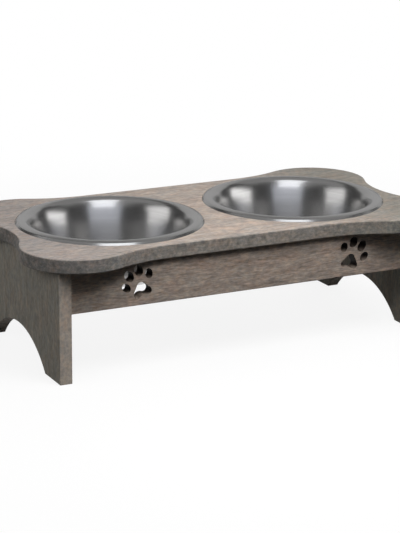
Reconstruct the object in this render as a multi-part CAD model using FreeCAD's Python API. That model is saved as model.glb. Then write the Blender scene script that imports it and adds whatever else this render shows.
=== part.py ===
import FreeCAD, Part
import math
import os

# Elevated pet feeder. A bone-shaped wooden top stands on two arched end panels, which a
# front and a back apron tie together. Two drawn steel bowls hang by their rims in the
# holes of the top and lift straight out.
# Millimetres. +Z is up, X runs along the pair of bowls and -Y is the front. The origin
# is on the floor, under the middle of the top.

Vector = FreeCAD.Vector
UP = Vector(0, 0, 1)

# Bowls: one drawn sheet each, with a rim that turns down at its outer edge and rolls softly
# into the mouth
RIM_DIAMETER = 174.0
RIM_WIDTH = 14.6
RIM_HEIGHT = 3.2
RIM_EDGE_BEND = 2.4
MOUTH_BEND = 12.0
BOWL_DEPTH = 52.0
WALL_LEAN = 12.0
FLOOR_BEND = 16.0
SHEET = 0.8
RIM_GAP = 18.0

# Room around each bowl's body: in its hole, to the aprons and to the end panel
HOLE_CLEARANCE = 2.6
APRON_CLEARANCE = 4.2
PANEL_CLEARANCE = 4.2

# Top board: four round lobes, a hollow in each end and a waist along each side
TOP_HEIGHT = 115.0
BOARD_THICKNESS = 13.0
LOBE_RADIUS = 51.0
LOBE_END_OVERHANG = 18.6
LOBE_SIDE_OVERHANG = 15.2
DIP_OVERHANG = 4.2
WAIST_OVERHANG = 5.0
WAIST_BEND = 125.0
BOARD_EASE = 1.2

# End panels: an arch at the floor leaves two feet on each
PANEL_THICKNESS = 12.0
ARCH_WIDTH = 127.0
ARCH_RISE = 30.0
PANEL_EASE = 0.8

# Aprons, set back from the panels' edges
APRON_THICKNESS = 12.0
APRON_HEIGHT = 41.0
APRON_RECESS = 6.0
APRON_EASE = 0.8

# Paw prints cut through the front apron, leaning away from its middle. Their parts are
# shares of the print's height, counted from the middle of the pad.
PAW_SPREAD = 106.5
PAW_MARGIN_ABOVE = 3.5
PAW_MARGIN_BELOW = 6.5
TOES_LEAN = 27.0
PAD_LEAN = 14.0
pad_rise_share = 0.26
pad_width_share = 0.574
pad_height_share = 0.445
pad_heel_radius_share = 0.119
pad_crown_radius_share = 0.142
pad_notch_share = 0.05
# Each toe: centre across, centre up, width and length
middle_toe_shares = (0.165, 0.556, 0.265, 0.361)
MIDDLE_TOE_SPLAY = 7.0
outer_toe_shares = (0.394, 0.298, 0.235, 0.310)
OUTER_TOE_SPLAY = 15.0

# Corner blocks, glued and screwed into the four inside corners under the top
BLOCK_SIZE = 22.0
BLOCK_HEIGHT = 32.0
BLOCK_CHAMFER = 9.0

# Countersunk wood screws through the corner blocks
SCREW_DIAMETER = 3.5
SCREW_HEAD_DIAMETER = 7.0
SCREW_HEAD_DEPTH = 2.4
SCREW_POINT = 4.0
SCREW_BITE = 8.0
SCREW_SLOT_LENGTH = 4.4
SCREW_SLOT_WIDTH = 1.1
SCREW_SLOT_DEPTH = 1.4
side_screw_share = 0.27
top_screw_share = 0.55
panel_screw_height_share = 0.78

# Dowels: apron ends into the panels, panel tops into the board
DOWEL_DIAMETER = 6.0
DOWEL_CHAMFER = 0.8
DOWEL_SHALLOW_END = 7.0
DOWEL_DEEP_END = 17.0
DOWEL_END_GAP = 1.0
apron_dowel_height_shares = (0.25, 0.75)
panel_dowel_spread_share = 0.5

# How far every cut runs past the faces that it opens
OVERRUN = 2.0

# Places that follow from the sizes, from the bowls outwards
rim_radius = RIM_DIAMETER / 2
mouth_radius = rim_radius - RIM_WIDTH
floor_radius = mouth_radius - WALL_LEAN
hole_radius = mouth_radius + SHEET + HOLE_CLEARANCE
bowl_x = rim_radius + RIM_GAP / 2
apron_inner_y = hole_radius + APRON_CLEARANCE
apron_outer_y = apron_inner_y + APRON_THICKNESS
panel_half_width = apron_outer_y + APRON_RECESS
panel_inner_x = bowl_x + hole_radius + PANEL_CLEARANCE
panel_outer_x = panel_inner_x + PANEL_THICKNESS
board_underside = TOP_HEIGHT - BOARD_THICKNESS
apron_bottom = board_underside - APRON_HEIGHT
paw_height = APRON_HEIGHT - PAW_MARGIN_ABOVE - PAW_MARGIN_BELOW

SIDES = {"left": -1, "right": 1}
FRONT_AND_BACK = {"front": -1, "back": 1}
CORNERS = [(sx, sy) for sx in SIDES.values() for sy in FRONT_AND_BACK.values()]


def line(start, end):
    return Part.LineSegment(start, end).toShape()


def arc(start, middle, end):
    return Part.Arc(start, middle, end).toShape()


def towards(angle):
    return Vector(math.cos(angle), math.sin(angle), 0)


def face_from(edges):
    return Part.Face(Part.Wire(Part.__sortEdges__(edges)))


def placed(shape, start, direction):
    """Copy of a shape that was made along +Z from the origin, now along direction from start."""
    copy = shape.copy()
    copy.Placement = FreeCAD.Placement(start, FreeCAD.Rotation(UP, direction))
    return copy


def turned_solid(profile):
    """Solid of revolution about Z from (radius, height) points that start and end on the axis."""
    points = [Vector(radius, 0, height) for radius, height in profile]
    outline = Part.makePolygon(points + points[:1])
    return Part.Face(outline).revolve(Vector(), UP, 360)


# Bowls

def bent_line(corners, bends):
    """Edges of a line through the corners, rounded at each inner corner by its bend."""
    edges = []
    start = corners[0]
    for before, corner, after, bend in zip(corners, corners[1:], corners[2:], bends):
        to_before = (before - corner).normalize()
        to_after = (after - corner).normalize()
        half_angle = to_before.getAngle(to_after) / 2
        reach = bend / math.tan(half_angle)
        inward = (to_before + to_after).normalize()
        bend_start = corner + to_before * reach
        bend_middle = corner + inward * (bend / math.sin(half_angle) - bend)
        bend_end = corner + to_after * reach
        edges.append(line(start, bend_start))
        edges.append(arc(bend_start, bend_middle, bend_end))
        start = bend_end
    edges.append(line(start, corners[-1]))
    return edges


def sheet_section(corners, bends):
    """Section of bent sheet: its face side runs through the corners, its back is one sheet to the left."""
    headings = [(b - a).normalize() for a, b in zip(corners, corners[1:])]
    lefts = [Vector(-heading.z, 0, heading.x) for heading in headings]
    back_corners = [corners[0] + lefts[0] * SHEET]
    back_bends = []
    for corner, left_in, left_out, bend in zip(corners[1:], lefts, lefts[1:], bends):
        mitre = (left_in + left_out) * (SHEET / (1 + left_in.dot(left_out)))
        back_corners.append(corner + mitre)
        turns_left = left_in.cross(left_out).y < 0
        back_bends.append(bend - SHEET if turns_left else bend + SHEET)
    back_corners.append(corners[-1] + lefts[-1] * SHEET)
    edges = bent_line(corners, bends) + bent_line(back_corners, back_bends)
    edges.append(line(corners[0], back_corners[0]))
    edges.append(line(corners[-1], back_corners[-1]))
    return face_from(edges)


def bowl():
    """Bowl on the Z axis, with the lower edge of its rim at height zero."""
    floor_height = RIM_HEIGHT - BOWL_DEPTH
    corners = [
        Vector(rim_radius, 0, 0),
        Vector(rim_radius, 0, RIM_HEIGHT),
        Vector(mouth_radius, 0, RIM_HEIGHT),
        Vector(floor_radius, 0, floor_height),
        Vector(0, 0, floor_height),
    ]
    section = sheet_section(corners, [RIM_EDGE_BEND, MOUTH_BEND, FLOOR_BEND])
    return section.revolve(Vector(), UP, 360)


# Dowels and screws

def dowel():
    radius = DOWEL_DIAMETER / 2
    length = DOWEL_SHALLOW_END + DOWEL_DEEP_END
    return turned_solid([
        (0, 0),
        (radius - DOWEL_CHAMFER, 0),
        (radius, DOWEL_CHAMFER),
        (radius, length - DOWEL_CHAMFER),
        (radius - DOWEL_CHAMFER, length),
        (0, length),
    ])


def dowel_hole():
    """Hole for a dowel, with its start one end gap below the dowel's own."""
    length = DOWEL_SHALLOW_END + DOWEL_DEEP_END + 2 * DOWEL_END_GAP
    return Part.makeCylinder(DOWEL_DIAMETER / 2, length, Vector(0, 0, -DOWEL_END_GAP))


def screw_body(length):
    """Countersunk screw with its head's flat at height zero and its point upwards."""
    radius = SCREW_DIAMETER / 2
    return turned_solid([
        (0, 0),
        (SCREW_HEAD_DIAMETER / 2, 0),
        (radius, SCREW_HEAD_DEPTH),
        (radius, length - SCREW_POINT),
        (0, length),
    ])


def screw(length):
    """The same screw with a cross recess for the driver."""
    slot = Part.makeBox(
        SCREW_SLOT_LENGTH, SCREW_SLOT_WIDTH, SCREW_SLOT_DEPTH,
        Vector(-SCREW_SLOT_LENGTH / 2, -SCREW_SLOT_WIDTH / 2, 0),
    )
    crossing_slot = slot.copy()
    crossing_slot.rotate(Vector(), UP, 90)
    return screw_body(length).cut([slot, crossing_slot])


def apron_dowel_seats():
    """Start and direction of each apron dowel, from its end in the panel."""
    seats = {"front": [], "back": []}
    middle_y = apron_inner_y + APRON_THICKNESS / 2
    for name, sy in FRONT_AND_BACK.items():
        for sx in SIDES.values():
            for share in apron_dowel_height_shares:
                height = apron_bottom + share * APRON_HEIGHT
                start = Vector(sx * (panel_inner_x + DOWEL_SHALLOW_END), sy * middle_y, height)
                seats[name].append((start, Vector(-sx, 0, 0)))
    return seats


def panel_dowel_seats():
    """Start and direction of each dowel between a panel and the board, from its end in the board."""
    seats = {"left": [], "right": []}
    middle_x = panel_inner_x + PANEL_THICKNESS / 2
    for name, sx in SIDES.items():
        for sy in FRONT_AND_BACK.values():
            y = sy * panel_dowel_spread_share * panel_half_width
            start = Vector(sx * middle_x, y, board_underside + DOWEL_SHALLOW_END)
            seats[name].append((start, Vector(0, 0, -1)))
    return seats


def screw_seats():
    """Start and direction of each screw's head, by what the screw holds."""
    side = side_screw_share * BLOCK_SIZE
    inner_x = panel_inner_x - BLOCK_SIZE
    inner_y = apron_inner_y - BLOCK_SIZE
    panel_height = board_underside - BLOCK_HEIGHT + panel_screw_height_share * BLOCK_HEIGHT
    apron_height = apron_bottom + APRON_HEIGHT / 2
    top_x = panel_inner_x - top_screw_share * BLOCK_SIZE
    top_y = apron_inner_y - top_screw_share * BLOCK_SIZE
    seats = {"panel": [], "apron": [], "top": []}
    for sx, sy in CORNERS:
        at_panel = Vector(sx * inner_x, sy * (apron_inner_y - side), panel_height)
        at_apron = Vector(sx * (panel_inner_x - side), sy * inner_y, apron_height)
        at_top = Vector(sx * top_x, sy * top_y, board_underside - BLOCK_HEIGHT)
        seats["panel"].append((at_panel, Vector(sx, 0, 0)))
        seats["apron"].append((at_apron, Vector(0, sy, 0)))
        seats["top"].append((at_top, UP))
    return seats


def all_placed(shape, seats):
    return [placed(shape, start, direction) for start, direction in seats]


SCREW_LENGTHS = {
    "panel": BLOCK_SIZE + SCREW_BITE,
    "apron": BLOCK_SIZE + SCREW_BITE,
    "top": BLOCK_HEIGHT + SCREW_BITE,
}
apron_dowels = apron_dowel_seats()
panel_dowels = panel_dowel_seats()
screws = screw_seats()
screw_holes = {role: all_placed(screw_body(SCREW_LENGTHS[role]), screws[role]) for role in screws}
apron_dowel_holes = all_placed(dowel_hole(), apron_dowels["front"] + apron_dowels["back"])
panel_dowel_holes = all_placed(dowel_hole(), panel_dowels["left"] + panel_dowels["right"])


# Top board

def bone_face():
    """Bone outline at height zero: lobes joined by an arc in each end and by the waist."""
    dip_x = panel_outer_x + DIP_OVERHANG
    waist_y = apron_outer_y + WAIST_OVERHANG
    lobe = Vector(
        panel_outer_x + LOBE_END_OVERHANG - LOBE_RADIUS,
        panel_half_width + LOBE_SIDE_OVERHANG - LOBE_RADIUS,
        0,
    )
    # The hollow's arc is centred on the X axis and touches both lobes of its end
    lobe_to_dip = dip_x - lobe.x
    dip_radius = (lobe_to_dip**2 + lobe.y**2 - LOBE_RADIUS**2) / (2 * (LOBE_RADIUS - lobe_to_dip))
    dip_centre = Vector(dip_x + dip_radius, 0, 0)
    # The waist's arc touches the lobe and runs out level with the waist
    waist_rise = waist_y + WAIST_BEND - lobe.y
    waist_run = math.sqrt((WAIST_BEND + LOBE_RADIUS)**2 - waist_rise**2)
    waist_centre = Vector(lobe.x - waist_run, waist_y + WAIST_BEND, 0)

    to_dip = (dip_centre - lobe).normalize()
    to_waist = (waist_centre - lobe).normalize()
    lobe_start = lobe + to_dip * LOBE_RADIUS
    lobe_middle = lobe + (to_dip + to_waist).normalize() * LOBE_RADIUS
    lobe_end = lobe + to_waist * LOBE_RADIUS
    waist_end = Vector(waist_centre.x, waist_y, 0)
    waist_middle = waist_centre + (Vector(0, -1, 0) - to_waist).normalize() * WAIST_BEND

    def mirrored(point, sx, sy):
        return Vector(sx * point.x, sy * point.y, 0)

    edges = []
    for sx, sy in CORNERS:
        lobe_arc = [mirrored(point, sx, sy) for point in (lobe_start, lobe_middle, lobe_end)]
        waist_arc = [mirrored(point, sx, sy) for point in (lobe_end, waist_middle, waist_end)]
        edges += [arc(*lobe_arc), arc(*waist_arc)]
    for sx in SIDES.values():
        edges.append(arc(mirrored(lobe_start, sx, -1), Vector(sx * dip_x, 0, 0), mirrored(lobe_start, sx, 1)))
    for sy in FRONT_AND_BACK.values():
        edges.append(line(mirrored(waist_end, -1, sy), mirrored(waist_end, 1, sy)))
    return face_from(edges)


def is_level(edge):
    return edge.BoundBox.ZLength < edge.Length * Part.Precision.confusion()


def top_board():
    board = bone_face().extrude(UP * BOARD_THICKNESS)
    board.translate(UP * board_underside)
    board = board.makeFillet(BOARD_EASE, [edge for edge in board.Edges if is_level(edge)])
    hole_bottom = board_underside - OVERRUN
    hole_length = BOARD_THICKNESS + 2 * OVERRUN
    bowl_holes = [
        Part.makeCylinder(hole_radius, hole_length, Vector(sx * bowl_x, 0, hole_bottom))
        for sx in SIDES.values()
    ]
    return board.cut(bowl_holes + panel_dowel_holes + screw_holes["top"])


# End panels

def end_panel(sx):
    half_arch = ARCH_WIDTH / 2
    foot_heel = Vector(0, -panel_half_width, 0)
    foot_toe = Vector(0, -half_arch, 0)
    arch_top = Vector(0, 0, ARCH_RISE)
    far_toe = Vector(0, half_arch, 0)
    far_heel = Vector(0, panel_half_width, 0)
    far_top = Vector(0, panel_half_width, board_underside)
    near_top = Vector(0, -panel_half_width, board_underside)
    face = face_from([
        line(foot_heel, foot_toe),
        arc(foot_toe, arch_top, far_toe),
        line(far_toe, far_heel),
        line(far_heel, far_top),
        line(far_top, near_top),
        line(near_top, foot_heel),
    ])
    panel = face.extrude(Vector(PANEL_THICKNESS, 0, 0))
    eased = [
        edge for edge in panel.Edges
        if edge.BoundBox.XLength < PANEL_EASE and edge.BoundBox.ZMin < board_underside - PANEL_EASE
    ]
    panel = panel.makeFillet(PANEL_EASE, eased)
    panel.translate(Vector(panel_inner_x if sx > 0 else -panel_outer_x, 0, 0))
    return panel.cut(apron_dowel_holes + panel_dowel_holes + screw_holes["panel"])


# Aprons

def pad_face():
    """Pad of a paw print: a round crown over two round heels with a notch between them."""
    heel_radius = pad_heel_radius_share * paw_height
    crown_radius = pad_crown_radius_share * paw_height
    half_width = pad_width_share * paw_height / 2
    half_height = pad_height_share * paw_height / 2
    heel = Vector(half_width - heel_radius, heel_radius - half_height, 0)
    crown = Vector(0, half_height - crown_radius, 0)

    # The sides are straight and touch the crown and the heel
    slope = heel - crown
    side_angle = math.atan2(slope.y, slope.x) + math.acos((crown_radius - heel_radius) / slope.Length)
    crown_end = crown + towards(side_angle) * crown_radius
    heel_start = heel + towards(side_angle) * heel_radius

    # The notch is an arc that touches both heels
    notch_top = pad_notch_share * paw_height - half_height
    reach = notch_top + heel_radius
    notch_drop = (heel.x**2 + heel.y**2 - reach**2) / (2 * (reach - heel.y))
    notch_angle = math.atan2(-notch_drop - heel.y, -heel.x)
    heel_middle = heel + towards((side_angle + notch_angle) / 2) * heel_radius
    heel_end = heel + towards(notch_angle) * heel_radius

    def flipped(point):
        return Vector(-point.x, point.y, 0)

    return face_from([
        arc(flipped(crown_end), crown + Vector(0, crown_radius, 0), crown_end),
        line(crown_end, heel_start),
        arc(heel_start, heel_middle, heel_end),
        arc(heel_end, Vector(0, notch_top, 0), flipped(heel_end)),
        arc(flipped(heel_end), flipped(heel_middle), flipped(heel_start)),
        line(flipped(heel_start), flipped(crown_end)),
    ])


def toe_face(shares, sign, splay):
    across, up, width, length = [share * paw_height for share in shares]
    ellipse = Part.Ellipse(Vector(), length / 2, width / 2).toShape()
    toe = Part.Face(Part.Wire(ellipse))
    toe.rotate(Vector(), UP, 90 - sign * splay)
    toe.translate(Vector(sign * across, up, 0))
    return toe


def paw_cutters(sx):
    """Cutters for one paw print, through the front apron."""
    pad = pad_face()
    pad.rotate(Vector(), UP, -sx * PAD_LEAN)
    faces = [pad]
    for sign in (-1, 1):
        for shares, splay in ((middle_toe_shares, MIDDLE_TOE_SPLAY), (outer_toe_shares, OUTER_TOE_SPLAY)):
            toe = toe_face(shares, sign, splay)
            toe.rotate(Vector(), UP, -sx * TOES_LEAN)
            faces.append(toe)
    pad_height = apron_bottom + PAW_MARGIN_BELOW + pad_rise_share * paw_height
    start = Vector(sx * PAW_SPREAD, OVERRUN - apron_inner_y, pad_height)
    cutters = []
    for face in faces:
        cutter = face.extrude(UP * (APRON_THICKNESS + 2 * OVERRUN))
        cutter.rotate(Vector(), Vector(1, 0, 0), 90)
        cutter.translate(start)
        cutters.append(cutter)
    return cutters


def apron(sy):
    corner = Vector(-panel_inner_x, apron_inner_y if sy > 0 else -apron_outer_y, apron_bottom)
    board = Part.makeBox(2 * panel_inner_x, APRON_THICKNESS, APRON_HEIGHT, corner)
    eased = [
        edge for edge in board.Edges
        if edge.BoundBox.XLength > panel_inner_x and edge.BoundBox.ZMax < board_underside - APRON_EASE
    ]
    board = board.makeFillet(APRON_EASE, eased)
    return board.cut(apron_dowel_holes + screw_holes["apron"])


def front_apron():
    return apron(FRONT_AND_BACK["front"]).cut(paw_cutters(SIDES["left"]) + paw_cutters(SIDES["right"]))


# Corner blocks

def corner_block(sx, sy):
    free = BLOCK_SIZE - BLOCK_CHAMFER
    outline = [(0, 0), (BLOCK_SIZE, 0), (BLOCK_SIZE, free), (free, BLOCK_SIZE), (0, BLOCK_SIZE)]
    bottom = board_underside - BLOCK_HEIGHT
    points = [
        Vector(sx * (panel_inner_x - from_panel), sy * (apron_inner_y - from_apron), bottom)
        for from_panel, from_apron in outline
    ]
    block = Part.Face(Part.makePolygon(points + points[:1])).extrude(UP * BLOCK_HEIGHT)
    return block.cut(screw_holes["panel"] + screw_holes["apron"] + screw_holes["top"])


# Assembly: one file for each piece, and one for each set of like fasteners

nodes = {"top_board": top_board(), "front_apron": front_apron(), "back_apron": apron(FRONT_AND_BACK["back"])}
for side_name, sx in SIDES.items():
    nodes[side_name + "_end_panel"] = end_panel(sx)
    side_bowl = bowl()
    side_bowl.translate(Vector(sx * bowl_x, 0, TOP_HEIGHT))
    nodes[side_name + "_bowl"] = side_bowl
    nodes[side_name + "_panel_dowels"] = Part.makeCompound(all_placed(dowel(), panel_dowels[side_name]))
    for face_name, sy in FRONT_AND_BACK.items():
        nodes[face_name + "_" + side_name + "_corner_block"] = corner_block(sx, sy)
for face_name in FRONT_AND_BACK:
    nodes[face_name + "_apron_dowels"] = Part.makeCompound(all_placed(dowel(), apron_dowels[face_name]))
for role, length in SCREW_LENGTHS.items():
    nodes[role + "_screws"] = Part.makeCompound(all_placed(screw(length), screws[role]))

os.makedirs("parts", exist_ok=True)
for name, shape in nodes.items():
    shape.exportStep("parts/" + name + ".step")
    box = shape.BoundBox
    print(name, len(shape.Solids), shape.isValid(), round(shape.Volume), "mm3",
          [round(v, 2) for v in (box.XMin, box.YMin, box.ZMin, box.XMax, box.YMax, box.ZMax)])
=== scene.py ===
import bpy
import bmesh
import math
from mathutils import Euler, Matrix, Vector


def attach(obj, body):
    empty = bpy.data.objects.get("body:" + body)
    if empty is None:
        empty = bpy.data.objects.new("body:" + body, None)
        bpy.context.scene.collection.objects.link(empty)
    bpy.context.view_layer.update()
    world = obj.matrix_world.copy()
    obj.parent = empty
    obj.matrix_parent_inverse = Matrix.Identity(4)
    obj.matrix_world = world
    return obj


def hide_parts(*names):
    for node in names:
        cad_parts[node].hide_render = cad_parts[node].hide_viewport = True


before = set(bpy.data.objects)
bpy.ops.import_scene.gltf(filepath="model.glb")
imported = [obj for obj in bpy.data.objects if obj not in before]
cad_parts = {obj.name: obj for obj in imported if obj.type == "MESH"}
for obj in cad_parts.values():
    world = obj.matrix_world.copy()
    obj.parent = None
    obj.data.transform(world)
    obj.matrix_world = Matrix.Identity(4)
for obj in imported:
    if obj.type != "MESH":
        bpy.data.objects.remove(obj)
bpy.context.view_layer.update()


# End panels: two upright boards of planed softwood, grain upright, each with an arch sawn
# out at the floor. All the outer boards are wiped with a thin weathering stain, grey over
# brown, that takes unevenly, and they get no varnish.

def linear(hex_colour):
    """sRGB hex to the linear values that Blender's sockets take."""
    channels = [int(hex_colour[i:i + 2], 16) / 255 for i in (1, 3, 5)]
    return [c / 12.92 if c <= 0.04045 else ((c + 0.055) / 1.055) ** 2.4 for c in channels] + [1.0]


def add(tree, kind, settings=None, inputs=None):
    """Adds a node. A setting is one of its properties, and an input is a value or the socket
    that feeds it."""
    node = tree.nodes.new(kind)
    for name, value in (settings or {}).items():
        if name == "stops":
            ramp = node.color_ramp
            while len(ramp.elements) < len(value):
                ramp.elements.new(1.0)
            for element, (place, colour) in zip(ramp.elements, value):
                element.position = place
                element.color = linear(colour)
        else:
            setattr(node, name, value)
    for name, value in (inputs or {}).items():
        if isinstance(value, bpy.types.NodeSocket):
            tree.links.new(value, node.inputs[name])
        else:
            node.inputs[name].default_value = value
    return node


def streaks(tree, place, length, width, detail, roughness):
    """Noise drawn out along the grain, in streaks of this length and width in metres."""
    place = add(tree, "ShaderNodeMapping", inputs={
        "Vector": place, "Scale": (1 / length, 1 / width, 1 / width)}).outputs["Vector"]
    return add(tree, "ShaderNodeTexNoise", inputs={
        "Vector": place, "Scale": 1.0, "Detail": detail, "Roughness": roughness}).outputs["Fac"]


def stained_wood(name, turn, shift, face, face_stops, edge_stops):
    """Grey weathering stain on planed softwood. The grain runs along X before the turn; face is
    the direction of the board's broad sides, which took the stain unlike its sawn edges."""
    material = bpy.data.materials.new(name)
    material.use_nodes = True
    tree = material.node_tree
    shader = tree.nodes["Principled BSDF"]
    place = add(tree, "ShaderNodeTexCoord").outputs["Object"]
    place = add(tree, "ShaderNodeMapping", inputs={
        "Vector": place, "Rotation": turn, "Location": shift}).outputs["Vector"]

    # The grain wanders by about 3 mm to either side over 60 mm of its length
    wander_length, wander_width = 0.060, 0.006
    wander = add(tree, "ShaderNodeTexNoise", inputs={
        "Vector": place, "Scale": 1 / wander_length, "Detail": 1.0}).outputs["Color"]
    wander = add(tree, "ShaderNodeVectorMath", {"operation": "MULTIPLY_ADD"}, {
        0: wander, 1: (0.0, wander_width, wander_width), 2: place}).outputs["Vector"]

    # Fibres 8 mm long and 1.2 mm wide, drawn a little coarse to show, over growth bands 5 mm wide
    fibre = streaks(tree, wander, 0.008, 0.0012, 3.0, 0.65)
    band = streaks(tree, wander, 0.022, 0.0050, 3.0, 0.6)
    grain = add(tree, "ShaderNodeMix", {"data_type": "FLOAT"}, {
        0: 0.6, 2: band, 3: fibre}).outputs[0]

    # Sawn edges drink the stain in blots about 4 mm across
    blot_size = 0.004
    blot = add(tree, "ShaderNodeTexNoise", inputs={
        "Vector": place, "Scale": 1 / blot_size, "Detail": 4.0, "Roughness": 0.7}).outputs["Fac"]
    edge_grain = add(tree, "ShaderNodeMix", {"data_type": "FLOAT"}, {
        0: 0.6, 2: grain, 3: blot}).outputs[0]

    normal = add(tree, "ShaderNodeNewGeometry").outputs["Normal"]
    broad = add(tree, "ShaderNodeVectorMath", {"operation": "DOT_PRODUCT"}, {
        0: normal, 1: face}).outputs["Value"]
    broad = add(tree, "ShaderNodeMath", {"operation": "ABSOLUTE"}, {0: broad}).outputs[0]
    broad = add(tree, "ShaderNodeMapRange", inputs={0: broad, 1: 0.25, 2: 0.95}).outputs[0]
    on_face = add(tree, "ShaderNodeValToRGB", {"stops": face_stops}, {"Fac": grain}).outputs["Color"]
    on_edge = add(tree, "ShaderNodeValToRGB", {"stops": edge_stops}, {
        "Fac": edge_grain}).outputs["Color"]
    colour = add(tree, "ShaderNodeMix", {"data_type": "RGBA"}, {
        0: broad, 6: on_edge, 7: on_face}).outputs[2]

    # Patches about 22 mm long where more brown or more blue-grey stayed, and flecks 4.5 mm long
    # of bare beige wood and of blue-grey stain
    patch = streaks(tree, place, 0.022, 0.012, 3.0, 0.55)
    patch_stops = [(0.32, "#aeb3b7"), (0.44, "#babab8"), (0.54, "#bfbbb8"), (0.68, "#cbbeb6")]
    fleck = streaks(tree, wander, 0.0045, 0.0028, 2.0, 0.6)
    fleck_stops = [(0.34, "#a5a7aa"), (0.50, "#bcbab9"), (0.66, "#d1c7bc")]
    for pattern, stops, strength in ((patch, patch_stops, 0.5), (fleck, fleck_stops, 0.6)):
        tint = add(tree, "ShaderNodeValToRGB", {"stops": stops}, {"Fac": pattern}).outputs["Color"]
        colour = add(tree, "ShaderNodeMix", {"data_type": "RGBA", "blend_type": "OVERLAY"}, {
            0: strength, 6: colour, 7: tint}).outputs[2]
    tree.links.new(colour, shader.inputs["Base Color"])

    # Without varnish the fibres scatter the light and hardly shine
    shader.inputs["Specular IOR Level"].default_value = 0.05
    rough = add(tree, "ShaderNodeMapRange", inputs={
        0: grain, 1: 0.3, 2: 0.7, 3: 0.68, 4: 0.52}).outputs[0]
    tree.links.new(rough, shader.inputs["Roughness"])
    fibre_relief = 0.0004
    bump = add(tree, "ShaderNodeBump", inputs={
        "Height": fibre, "Strength": 0.3, "Distance": fibre_relief}).outputs["Normal"]
    tree.links.new(bump, shader.inputs["Normal"])
    return material


upright = stained_wood(
    "grey_stained_upright_softwood", (0, math.radians(90), 0), (0.31, 0.12, 0.05), (1, 0, 0),
    [(0.34, "#827f78"), (0.50, "#96938b"), (0.66, "#aaa69d")],
    [(0.32, "#a19991"), (0.50, "#c0b7ae"), (0.68, "#d8cfc5")])
for name in ("left_end_panel", "right_end_panel"):
    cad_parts[name].material_slots[0].material = upright


# Aprons: two long boards, grain along, doweled and glued between the end panels. The front
# one has two paw prints cut through it, and the walls of its cuts carry painted shade.

along = stained_wood(
    "grey_stained_apron_softwood", (0, 0, 0), (0.02, 0.33, 0.17), (0, 1, 0),
    [(0.34, "#877c74"), (0.50, "#aa9e95"), (0.66, "#c8bcb1")],
    [(0.32, "#877e76"), (0.50, "#a1988f"), (0.68, "#b8aea4")])
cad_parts["back_apron"].material_slots[0].material = along

# Painted shade: a copy of the apron's stain whose cut walls are painted dark for the shade inside the
# paw prints
painted_shade = along.copy()
painted_shade.name = "grey_stained_softwood_charred_cuts"
tree = painted_shade.node_tree
shader = tree.nodes["Principled BSDF"]
# The cuts' walls stand square to the board's face, away from its ends, top and bottom
apron_middle = 0.0815
cuts_half_height = 0.0192
cuts_half_length = 0.170
normal = add(tree, "ShaderNodeNewGeometry").outputs["Normal"]
normal = add(tree, "ShaderNodeSeparateXYZ", inputs={0: normal}).outputs
cut = add(tree, "ShaderNodeMath", {"operation": "ABSOLUTE"}, {0: normal["Y"]}).outputs[0]
cut = add(tree, "ShaderNodeMath", {"operation": "LESS_THAN"}, {0: cut, 1: 0.3}).outputs[0]
place = add(tree, "ShaderNodeTexCoord").outputs["Object"]
place = add(tree, "ShaderNodeMapping", inputs={
    "Vector": place, "Location": (0, 0, -apron_middle)}).outputs["Vector"]
place = add(tree, "ShaderNodeSeparateXYZ", inputs={0: place}).outputs
for axis, half in (("Z", cuts_half_height), ("X", cuts_half_length)):
    inside = add(tree, "ShaderNodeMath", {"operation": "COMPARE"}, {
        0: place[axis], 1: 0.0, 2: half}).outputs[0]
    cut = add(tree, "ShaderNodeMath", {"operation": "MULTIPLY"}, {0: cut, 1: inside}).outputs[0]
# Painted shade and light on the cuts' walls: near black where they face sideways or down, paler where
# they face up, as if lit from above
painted_wall_shading = add(tree, "ShaderNodeValToRGB", {"stops": [(0.30, "#1d1714"), (0.85, "#85796f")]}, {
    "Fac": normal["Z"]}).outputs["Color"]
plain = shader.inputs["Base Color"].links[0].from_socket
colour = add(tree, "ShaderNodeMix", {"data_type": "RGBA"}, {0: cut, 6: plain, 7: painted_wall_shading}).outputs[2]
tree.links.new(colour, shader.inputs["Base Color"])
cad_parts["front_apron"].material_slots[0].material = painted_shade


# Dowels, corner blocks and screws: beech dowels hold the boards' ends, and a sawn block in
# each corner is screwed to the panel, the apron and the top.

# Plain beech: pale, even and matt, with flecks about 2 mm long
beech = bpy.data.materials.new("plain_beech")
beech.use_nodes = True
tree = beech.node_tree
shader = tree.nodes["Principled BSDF"]
place = add(tree, "ShaderNodeTexCoord").outputs["Object"]
beech_fleck = 0.002
fleck = add(tree, "ShaderNodeTexNoise", inputs={
    "Vector": place, "Scale": 1 / beech_fleck, "Detail": 2.0}).outputs["Fac"]
colour = add(tree, "ShaderNodeValToRGB", {"stops": [(0.35, "#b98d62"), (0.65, "#d3ab7f")]}, {
    "Fac": fleck}).outputs["Color"]
tree.links.new(colour, shader.inputs["Base Color"])
shader.inputs["Roughness"].default_value = 0.6
for name in ("front_apron_dowels", "back_apron_dowels", "left_panel_dowels", "right_panel_dowels"):
    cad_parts[name].material_slots[0].material = beech

sawn_colours = ["#7d746b", "#978c81", "#aea294"]
sawn = stained_wood(
    "sawn_block_softwood", (0, math.radians(90), 0), (0.7, 0.5, 0.2), (0, 0, 1),
    list(zip((0.34, 0.50, 0.66), sawn_colours)), list(zip((0.32, 0.50, 0.68), sawn_colours)))
for row in ("front", "back"):
    for side in ("left", "right"):
        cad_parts[row + "_" + side + "_corner_block"].material_slots[0].material = sawn

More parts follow.
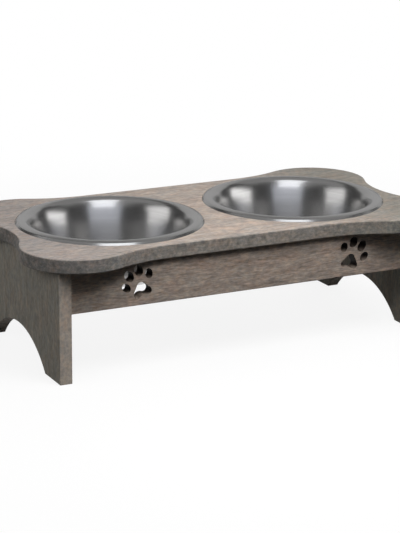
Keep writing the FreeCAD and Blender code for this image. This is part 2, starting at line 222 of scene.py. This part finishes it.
# Zinc plate: bright, slightly mottled grey, with a bloom about 1.5 mm across
zinc = bpy.data.materials.new("zinc_plated_screw_steel")
zinc.use_nodes = True
tree = zinc.node_tree
shader = tree.nodes["Principled BSDF"]
place = add(tree, "ShaderNodeTexCoord").outputs["Object"]
zinc_bloom = 0.0015
bloom = add(tree, "ShaderNodeTexNoise", inputs={
    "Vector": place, "Scale": 1 / zinc_bloom, "Detail": 2.0}).outputs["Fac"]
colour = add(tree, "ShaderNodeValToRGB", {"stops": [(0.3, "#a9abae"), (0.7, "#cfd0cc")]}, {
    "Fac": bloom}).outputs["Color"]
tree.links.new(colour, shader.inputs["Base Color"])
shader.inputs["Metallic"].default_value = 1.0
shader.inputs["Roughness"].default_value = 0.35
for name in ("panel_screws", "apron_screws", "top_screws"):
    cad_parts[name].material_slots[0].material = zinc


# Top board: one wide board in the outline of a bone, grain along, with two round holes for
# the bowls. Its face is sanded after staining and paler than its sawn edge.

top = stained_wood(
    "grey_stained_top_softwood", (0, 0, 0), (0.0, 0.0, 0.0), (0, 0, 1),
    [(0.34, "#8a827c"), (0.50, "#a49b94"), (0.66, "#b9b0a8")],
    [(0.32, "#6b6864"), (0.50, "#908c87"), (0.68, "#b6afa6")])
tree = top.node_tree
shader = tree.nodes["Principled BSDF"]
# Greyer and darker towards both ends, most at the right: partly the stain's own greyer tone, partly
# painted shade for the light falling off towards the ends
place = add(tree, "ShaderNodeTexCoord").outputs["Object"]
along_it = add(tree, "ShaderNodeSeparateXYZ", inputs={0: place}).outputs["X"]
colour = shader.inputs["Base Color"].links[0].from_socket
grey_from_share = 0.4
for far_end, grey_and_shade in ((-0.16, "#ebeef3"), (0.16, "#d6dddd")):
    end = add(tree, "ShaderNodeMapRange", inputs={
        0: along_it, 1: far_end * grey_from_share, 2: far_end}).outputs[0]
    colour = add(tree, "ShaderNodeMix", {"data_type": "RGBA", "blend_type": "MULTIPLY"}, {
        0: end, 6: colour, 7: linear(grey_and_shade)}).outputs[2]
tree.links.new(colour, shader.inputs["Base Color"])
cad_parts["top_board"].material_slots[0].material = top


# Bowls: each is drawn from one sheet of stainless steel, brushed on the lathe, and hangs in
# its hole by a rim that rolls softly into the mouth and turns down at its outer edge.

bowl_offset = 0.096
rim_foot = (0.0871, 0.1150)
rim_top = 0.1193
# Radius and depth of each corner of the sheet's face, and the radius of the bend at it
rim_edge = (0.0853, 0.0023, 0.0016)
mouth = (0.0773, 0.0000, 0.0080)
shoulder = (0.0715, 0.0069, 0.0300)
wall = (0.0676, 0.0176, 0.1000)
floor_edge = (0.0597, 0.0530, 0.0160)
sheet = 0.0008
bend_steps = 12
round_steps = 180
long_straight = 0.005
straight_cuts = 6
for side, bowl_x in (("left", -bowl_offset), ("right", bowl_offset)):
    bm = bmesh.new()
    foot = bm.verts.new((bowl_x + rim_foot[0], 0, rim_foot[1]))
    turns = [(bm.verts.new((bowl_x + radius, 0, rim_top - depth)), bend)
             for radius, depth, bend in (rim_edge, mouth, shoulder, wall, floor_edge)]
    middle = bm.verts.new((bowl_x, 0, rim_top - floor_edge[1]))
    section = [foot] + [vert for vert, bend in turns] + [middle]
    for start, end in zip(section, section[1:]):
        bm.edges.new((start, end))
    for vert, bend in turns:
        arms = [(edge.other_vert(vert).co - vert.co) for edge in vert.link_edges]
        reach = bend / math.tan(arms[0].angle(arms[1]) / 2)
        bmesh.ops.bevel(bm, geom=[vert], offset=reach, offset_type="OFFSET", affect="VERTICES",
                        segments=bend_steps, profile=0.5, material=-1)
    straight = [edge for edge in bm.edges if edge.calc_length() > long_straight]
    bmesh.ops.subdivide_edges(bm, edges=straight, cuts=straight_cuts)
    bmesh.ops.spin(bm, geom=bm.verts[:] + bm.edges[:], cent=(bowl_x, 0, 0), axis=(0, 0, 1),
                   angle=math.tau, steps=round_steps, use_merge=True)
    bmesh.ops.remove_doubles(bm, verts=bm.verts[:], dist=1e-6)
    bmesh.ops.recalc_face_normals(bm, faces=bm.faces[:])
    if sum(face.normal.z * face.calc_area() for face in bm.faces) < 0:
        bmesh.ops.reverse_faces(bm, faces=bm.faces[:])
    for face in bm.faces:
        face.smooth = True
    for edge in bm.edges:
        edge.smooth = not edge.is_boundary
    mesh = bpy.data.meshes.new(side + "_steel_bowl")
    bm.to_mesh(mesh)
    bm.free()
    piece = bpy.data.objects.new(side + "_steel_bowl", mesh)
    bpy.context.collection.objects.link(piece)
    thickness = piece.modifiers.new("sheet", "SOLIDIFY")
    thickness.thickness = sheet
    thickness.offset = -1.0

    # Satin stainless: turned lines round the bowl stretch each reflection up and down the wall
    steel = bpy.data.materials.new("satin_stainless_" + side)
    steel.use_nodes = True
    tree = steel.node_tree
    shader = tree.nodes["Principled BSDF"]
    place = add(tree, "ShaderNodeTexCoord").outputs["Object"]
    place = add(tree, "ShaderNodeMapping", inputs={
        "Vector": place, "Location": (-bowl_x, 0, 0)}).outputs["Vector"]
    round_it = add(tree, "ShaderNodeVectorMath", {"operation": "CROSS_PRODUCT"}, {
        0: (0, 0, 1), 1: place}).outputs["Vector"]
    round_it = add(tree, "ShaderNodeVectorMath", {"operation": "NORMALIZE"}, {
        0: round_it}).outputs["Vector"]
    tree.links.new(round_it, shader.inputs["Tangent"])
    # Turned lines about 1.4 mm apart, drawn coarser than the real ones to show, some duller
    line_spacing = 0.0014
    height = add(tree, "ShaderNodeSeparateXYZ", inputs={0: place}).outputs["Z"]
    radius = add(tree, "ShaderNodeVectorMath", {"operation": "MULTIPLY"}, {
        0: place, 1: (1, 1, 0)}).outputs["Vector"]
    radius = add(tree, "ShaderNodeVectorMath", {"operation": "LENGTH"}, {0: radius}).outputs["Value"]
    profile = add(tree, "ShaderNodeCombineXYZ", inputs={"X": radius, "Z": height}).outputs["Vector"]
    line = add(tree, "ShaderNodeTexNoise", inputs={
        "Vector": profile, "Scale": 1 / line_spacing, "Detail": 2.0, "Roughness": 0.6}).outputs["Fac"]
    colour = add(tree, "ShaderNodeValToRGB", {"stops": [(0.30, "#c1c0bf"), (0.70, "#c9c8c7")]}, {
        "Fac": line}).outputs["Color"]
    tree.links.new(colour, shader.inputs["Base Color"])
    rough = add(tree, "ShaderNodeMapRange", inputs={
        0: line, 1: 0.3, 2: 0.7, 3: 0.265, 4: 0.235}).outputs[0]
    tree.links.new(rough, shader.inputs["Roughness"])
    shader.inputs["Metallic"].default_value = 1.0
    shader.inputs["Anisotropic"].default_value = 0.6
    shader.inputs["Anisotropic Rotation"].default_value = 0.25
    mesh.materials.append(steel)
    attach(piece, side + "_bowl")
    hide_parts(side + "_bowl")


# Studio floor: a sheet of white paper, matt, that the feeder stands on. It is close to white
# to the eye, keeps a soft shadow and throws little light back.

floor_radius = 9.0
bm = bmesh.new()
bmesh.ops.create_circle(bm, cap_ends=True, radius=floor_radius, segments=96)
mesh = bpy.data.meshes.new("studio_floor")
bm.to_mesh(mesh)
bm.free()
floor = bpy.data.objects.new("studio_floor", mesh)
bpy.context.collection.objects.link(floor)
paper = bpy.data.materials.new("white_studio_paper")
paper.use_nodes = True
tree = paper.node_tree
tree.nodes.clear()
rays = add(tree, "ShaderNodeLightPath").outputs
seen = rays["Is Camera Ray"]
for ray in ("Is Glossy Ray", "Is Transmission Ray"):
    seen = add(tree, "ShaderNodeMath", {"operation": "MAXIMUM"}, {0: seen, 1: rays[ray]}).outputs[0]
shade = add(tree, "ShaderNodeMix", {"data_type": "RGBA"}, {
    0: seen, 6: (0.03, 0.03, 0.03, 1), 7: (0.95, 0.95, 0.95, 1)}).outputs[2]
matt = add(tree, "ShaderNodeBsdfDiffuse", inputs={"Color": shade}).outputs["BSDF"]
glow = add(tree, "ShaderNodeEmission", inputs={
    "Color": (1, 1, 1, 1), "Strength": 1.0}).outputs["Emission"]
# The shadow lies near the feeder; further out the paper is white all over
shadow_to, white_from = 0.30, 0.80
white_in_shadow = 0.88
place = add(tree, "ShaderNodeTexCoord").outputs["Object"]
away = add(tree, "ShaderNodeVectorMath", {"operation": "LENGTH"}, {0: place}).outputs["Value"]
white = add(tree, "ShaderNodeMapRange", {"interpolation_type": "SMOOTHSTEP"}, {
    0: away, 1: shadow_to, 2: white_from, 3: white_in_shadow, 4: 1.0}).outputs[0]
share = add(tree, "ShaderNodeMath", {"operation": "MULTIPLY"}, {0: seen, 1: white}).outputs[0]
both = add(tree, "ShaderNodeMixShader", inputs={0: share, 1: matt, 2: glow}).outputs["Shader"]
add(tree, "ShaderNodeOutputMaterial", inputs={"Surface": both})
mesh.materials.append(paper)


# Light: a dark room with a near key light and fills for the wood, and soft boxes that the
# steel mirrors. The steel also mirrors the room's grey walls, which send the wood little light.

world = bpy.data.worlds.new("studio_room")
bpy.context.scene.world = world
world.use_nodes = True
tree = world.node_tree
rays = add(tree, "ShaderNodeLightPath").outputs
shade = add(tree, "ShaderNodeMix", {"data_type": "RGBA"}, {
    0: rays["Is Glossy Ray"], 6: (0.045, 0.045, 0.045, 1), 7: (0.065, 0.065, 0.065, 1)}).outputs[2]
tree.links.new(shade, tree.nodes["Background"].inputs["Color"])

lit_place = Vector((0, 0, 0.1))
# Each: heading in degrees from the front towards the right, elevation, distance, width, height,
# brightness, colour, and whether matt and shiny surfaces catch it
for name, heading, elevation, distance, width, height, brightness, colour, on_matt, on_shiny in (
    ("key_light", 5, 57, 0.70, 0.36, 0.40, 9.5, "#ffffff", True, False),
    ("left_fill", -88, 28, 1.2, 0.6, 0.5, 3.1, "#ffffff", True, False),
    ("front_fill", -10, 40, 1.6, 0.7, 0.5, 1.5, "#ffffff", True, False),
    ("right_fill", 88, 28, 1.4, 0.6, 0.5, 3.0, "#ffffff", True, False),
    ("back_fill", 150, 35, 1.5, 1.0, 1.0, 1.6, "#ffffff", True, False),
    ("long_strip_softbox", -18, 56, 1.3, 0.70, 0.90, 1.6, "#f6f9ff", False, True),
    ("overhead_softbox", 0, 89, 1.6, 3.2, 2.6, 0.23, "#ffffff", True, True),
    ("front_softbox", -18, 22, 1.8, 1.6, 1.4, 0.64, "#eef3ff", False, True),
    ("right_softbox", 69, 14, 1.0, 0.7, 0.42, 1.6, "#ffffff", False, True),
    ("left_softbox", -108, 17, 1.6, 1.1, 1.1, 1.1, "#ffffff", False, True),
    ("low_back_softbox", 153, 24, 3.0, 5.0, 2.0, 0.38, "#ffffff", False, True),
):
    light = bpy.data.lights.new(name, "AREA")
    light.shape = "RECTANGLE"
    light.size = width
    light.size_y = height
    light.color = linear(colour)[:3]
    light.energy = brightness * math.pi * width * height
    lamp = bpy.data.objects.new(name, light)
    turn, tilt = math.radians(heading), math.radians(elevation)
    towards = Vector((math.sin(turn) * math.cos(tilt), -math.cos(turn) * math.cos(tilt), math.sin(tilt)))
    lamp.location = lit_place + towards * distance
    lamp.rotation_euler = towards.to_track_quat("Z", "Y").to_euler()
    lamp.visible_camera = False
    lamp.visible_diffuse = on_matt
    lamp.visible_glossy = on_shiny
    bpy.context.collection.objects.link(lamp)


# Camera: from the front left and a little above, as in the photograph, with a long lens.
# Its focal length is in pixels of the photograph, 533 high.

focal_pixels = 1921.31
picture_height = 533
sensor_height = 36
turned_right, tipped_down, rolled = 26.8249, 16.1864, 0.480
lens = bpy.data.cameras.new("camera")
lens.lens = focal_pixels * sensor_height / picture_height
camera = bpy.data.objects.new("camera", lens)
camera.location = (-0.79150, -1.55949, 0.56673)
look = Euler((math.radians(90 - tipped_down), 0, math.radians(-turned_right))).to_matrix()
camera.rotation_euler = (look @ Matrix.Rotation(math.radians(rolled), 3, "Z")).to_euler()
bpy.context.collection.objects.link(camera)
bpy.context.scene.camera = camera
bpy.context.scene.view_settings.view_transform = "Standard"
